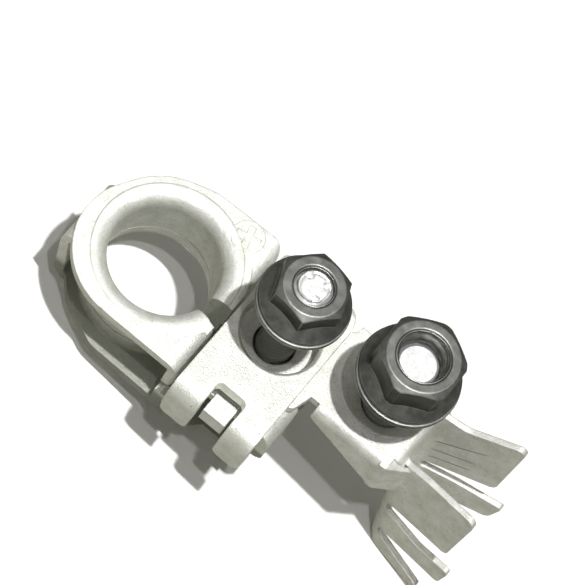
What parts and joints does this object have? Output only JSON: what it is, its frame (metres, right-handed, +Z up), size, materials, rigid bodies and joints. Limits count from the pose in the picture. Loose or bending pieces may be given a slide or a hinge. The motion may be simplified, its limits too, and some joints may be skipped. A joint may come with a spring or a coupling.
{
  "type": "battery terminal clamp",
  "caption": "Folded sheet battery terminal clamp: split tapered post ring, bracket drawn down by a flange nut, and a stud-mounted connector ending in an open cable crimp barrel.",
  "frame": {"origin": "on the axis of the post bore, halfway up the parallel part of its wall", "axes": "+Z up along the post, +X from the bore towards the two studs and the crimp barrel"},
  "size_m": [0.0757, 0.0315, 0.0525],
  "materials": {
    "tin_plate": "matte tin plate",
    "bright_zinc": "satin",
    "dark_plate": "satin dark plate"
  },
  "bodies": {
    "clamp": {"clamp_body": "tin_plate", "connector": "tin_plate", "clamp_stud": "bright_zinc", "harness_stud": "bright_zinc"},
    "bracket": {"bracket": "tin_plate"},
    "clamp_washer": {"clamp_washer": "dark_plate"},
    "clamp_nut": {"clamp_nut": "dark_plate"},
    "harness_washer": {"harness_washer": "dark_plate"},
    "harness_nut": {"harness_nut": "dark_plate"}
  },
  "joints": [
    {"name": "clamp_nut_travel", "type": "slide", "parent": "clamp", "child": "clamp_washer", "axis": [0, 0, 1], "range_m": [-0.0133, 0]},
    {"name": "clamp_nut_turn", "type": "hinge", "parent": "clamp_washer", "child": "clamp_nut", "pos_m": [0.02027, 0, 0.0228], "axis": [0, 0, 1], "range_deg": [-4790, 0]},
    {"name": "bracket_press", "type": "slide", "parent": "clamp", "child": "bracket", "axis": [0, 0, 1], "range_m": [-0.00156, 0]},
    {"name": "harness_nut_travel", "type": "slide", "parent": "clamp", "child": "harness_washer", "axis": [0, 0, 1], "range_m": [-0.0104, 0.0035]},
    {"name": "harness_nut_turn", "type": "hinge", "parent": "harness_washer", "child": "harness_nut", "pos_m": [0.03835, 0.0043, 0.0176], "axis": [0, 0, 1], "range_deg": [-2997, 1010]}
  ],
  "couplings": [
    {"joint": "clamp_nut_turn", "follows": "clamp_nut_travel", "rad_per_m": 6283.2},
    {"joint": "bracket_press", "follows": "clamp_nut_travel", "ratio": 0.1172},
    {"joint": "harness_nut_turn", "follows": "harness_nut_travel", "rad_per_m": 5026.5}
  ]
}
